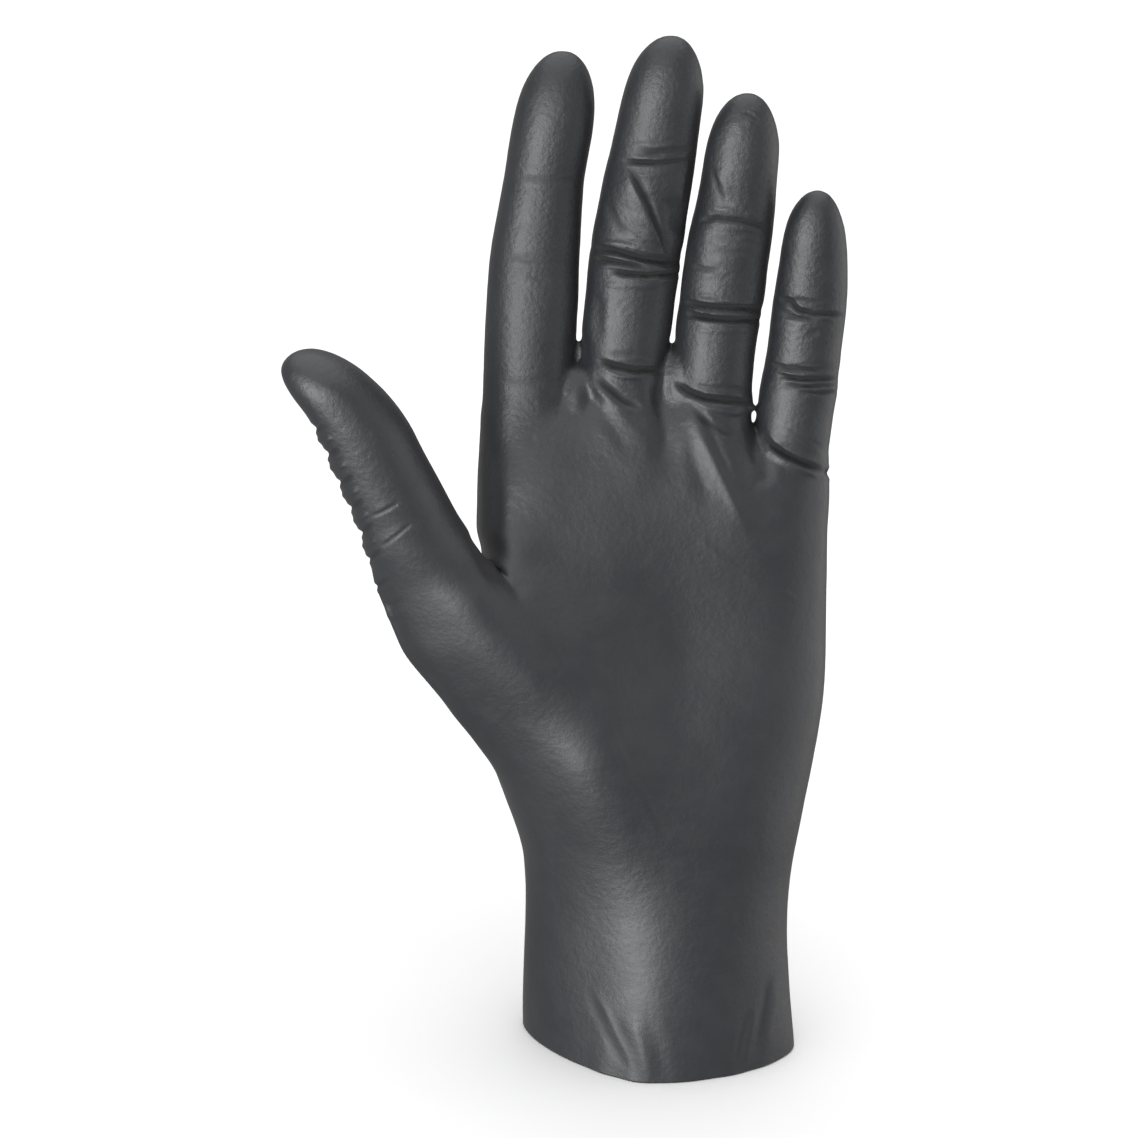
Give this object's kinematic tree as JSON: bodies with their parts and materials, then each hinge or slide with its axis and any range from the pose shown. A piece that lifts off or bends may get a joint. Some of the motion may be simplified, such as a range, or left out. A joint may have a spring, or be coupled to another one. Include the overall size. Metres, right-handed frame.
{
  "type": "nitrile exam glove",
  "caption": "Thin black nitrile exam glove for a left hand, in its worn form: cuff, palm, finger stalls and thumb in one hollow dipped film, open at the wrist.",
  "frame": {"origin": "centre of the opening at the cuff, in the plane of the rim, where the wrist goes in", "axes": "+Z from the opening to the fingertips, -Y out of the palm, +X to the little finger's side"},
  "size_m": [0.1249, 0.0541, 0.2382],
  "materials": {
    "nitrile": "satin, fine grain"
  },
  "bodies": {
    "root": {"glove": "nitrile"}
  },
  "joints": []
}
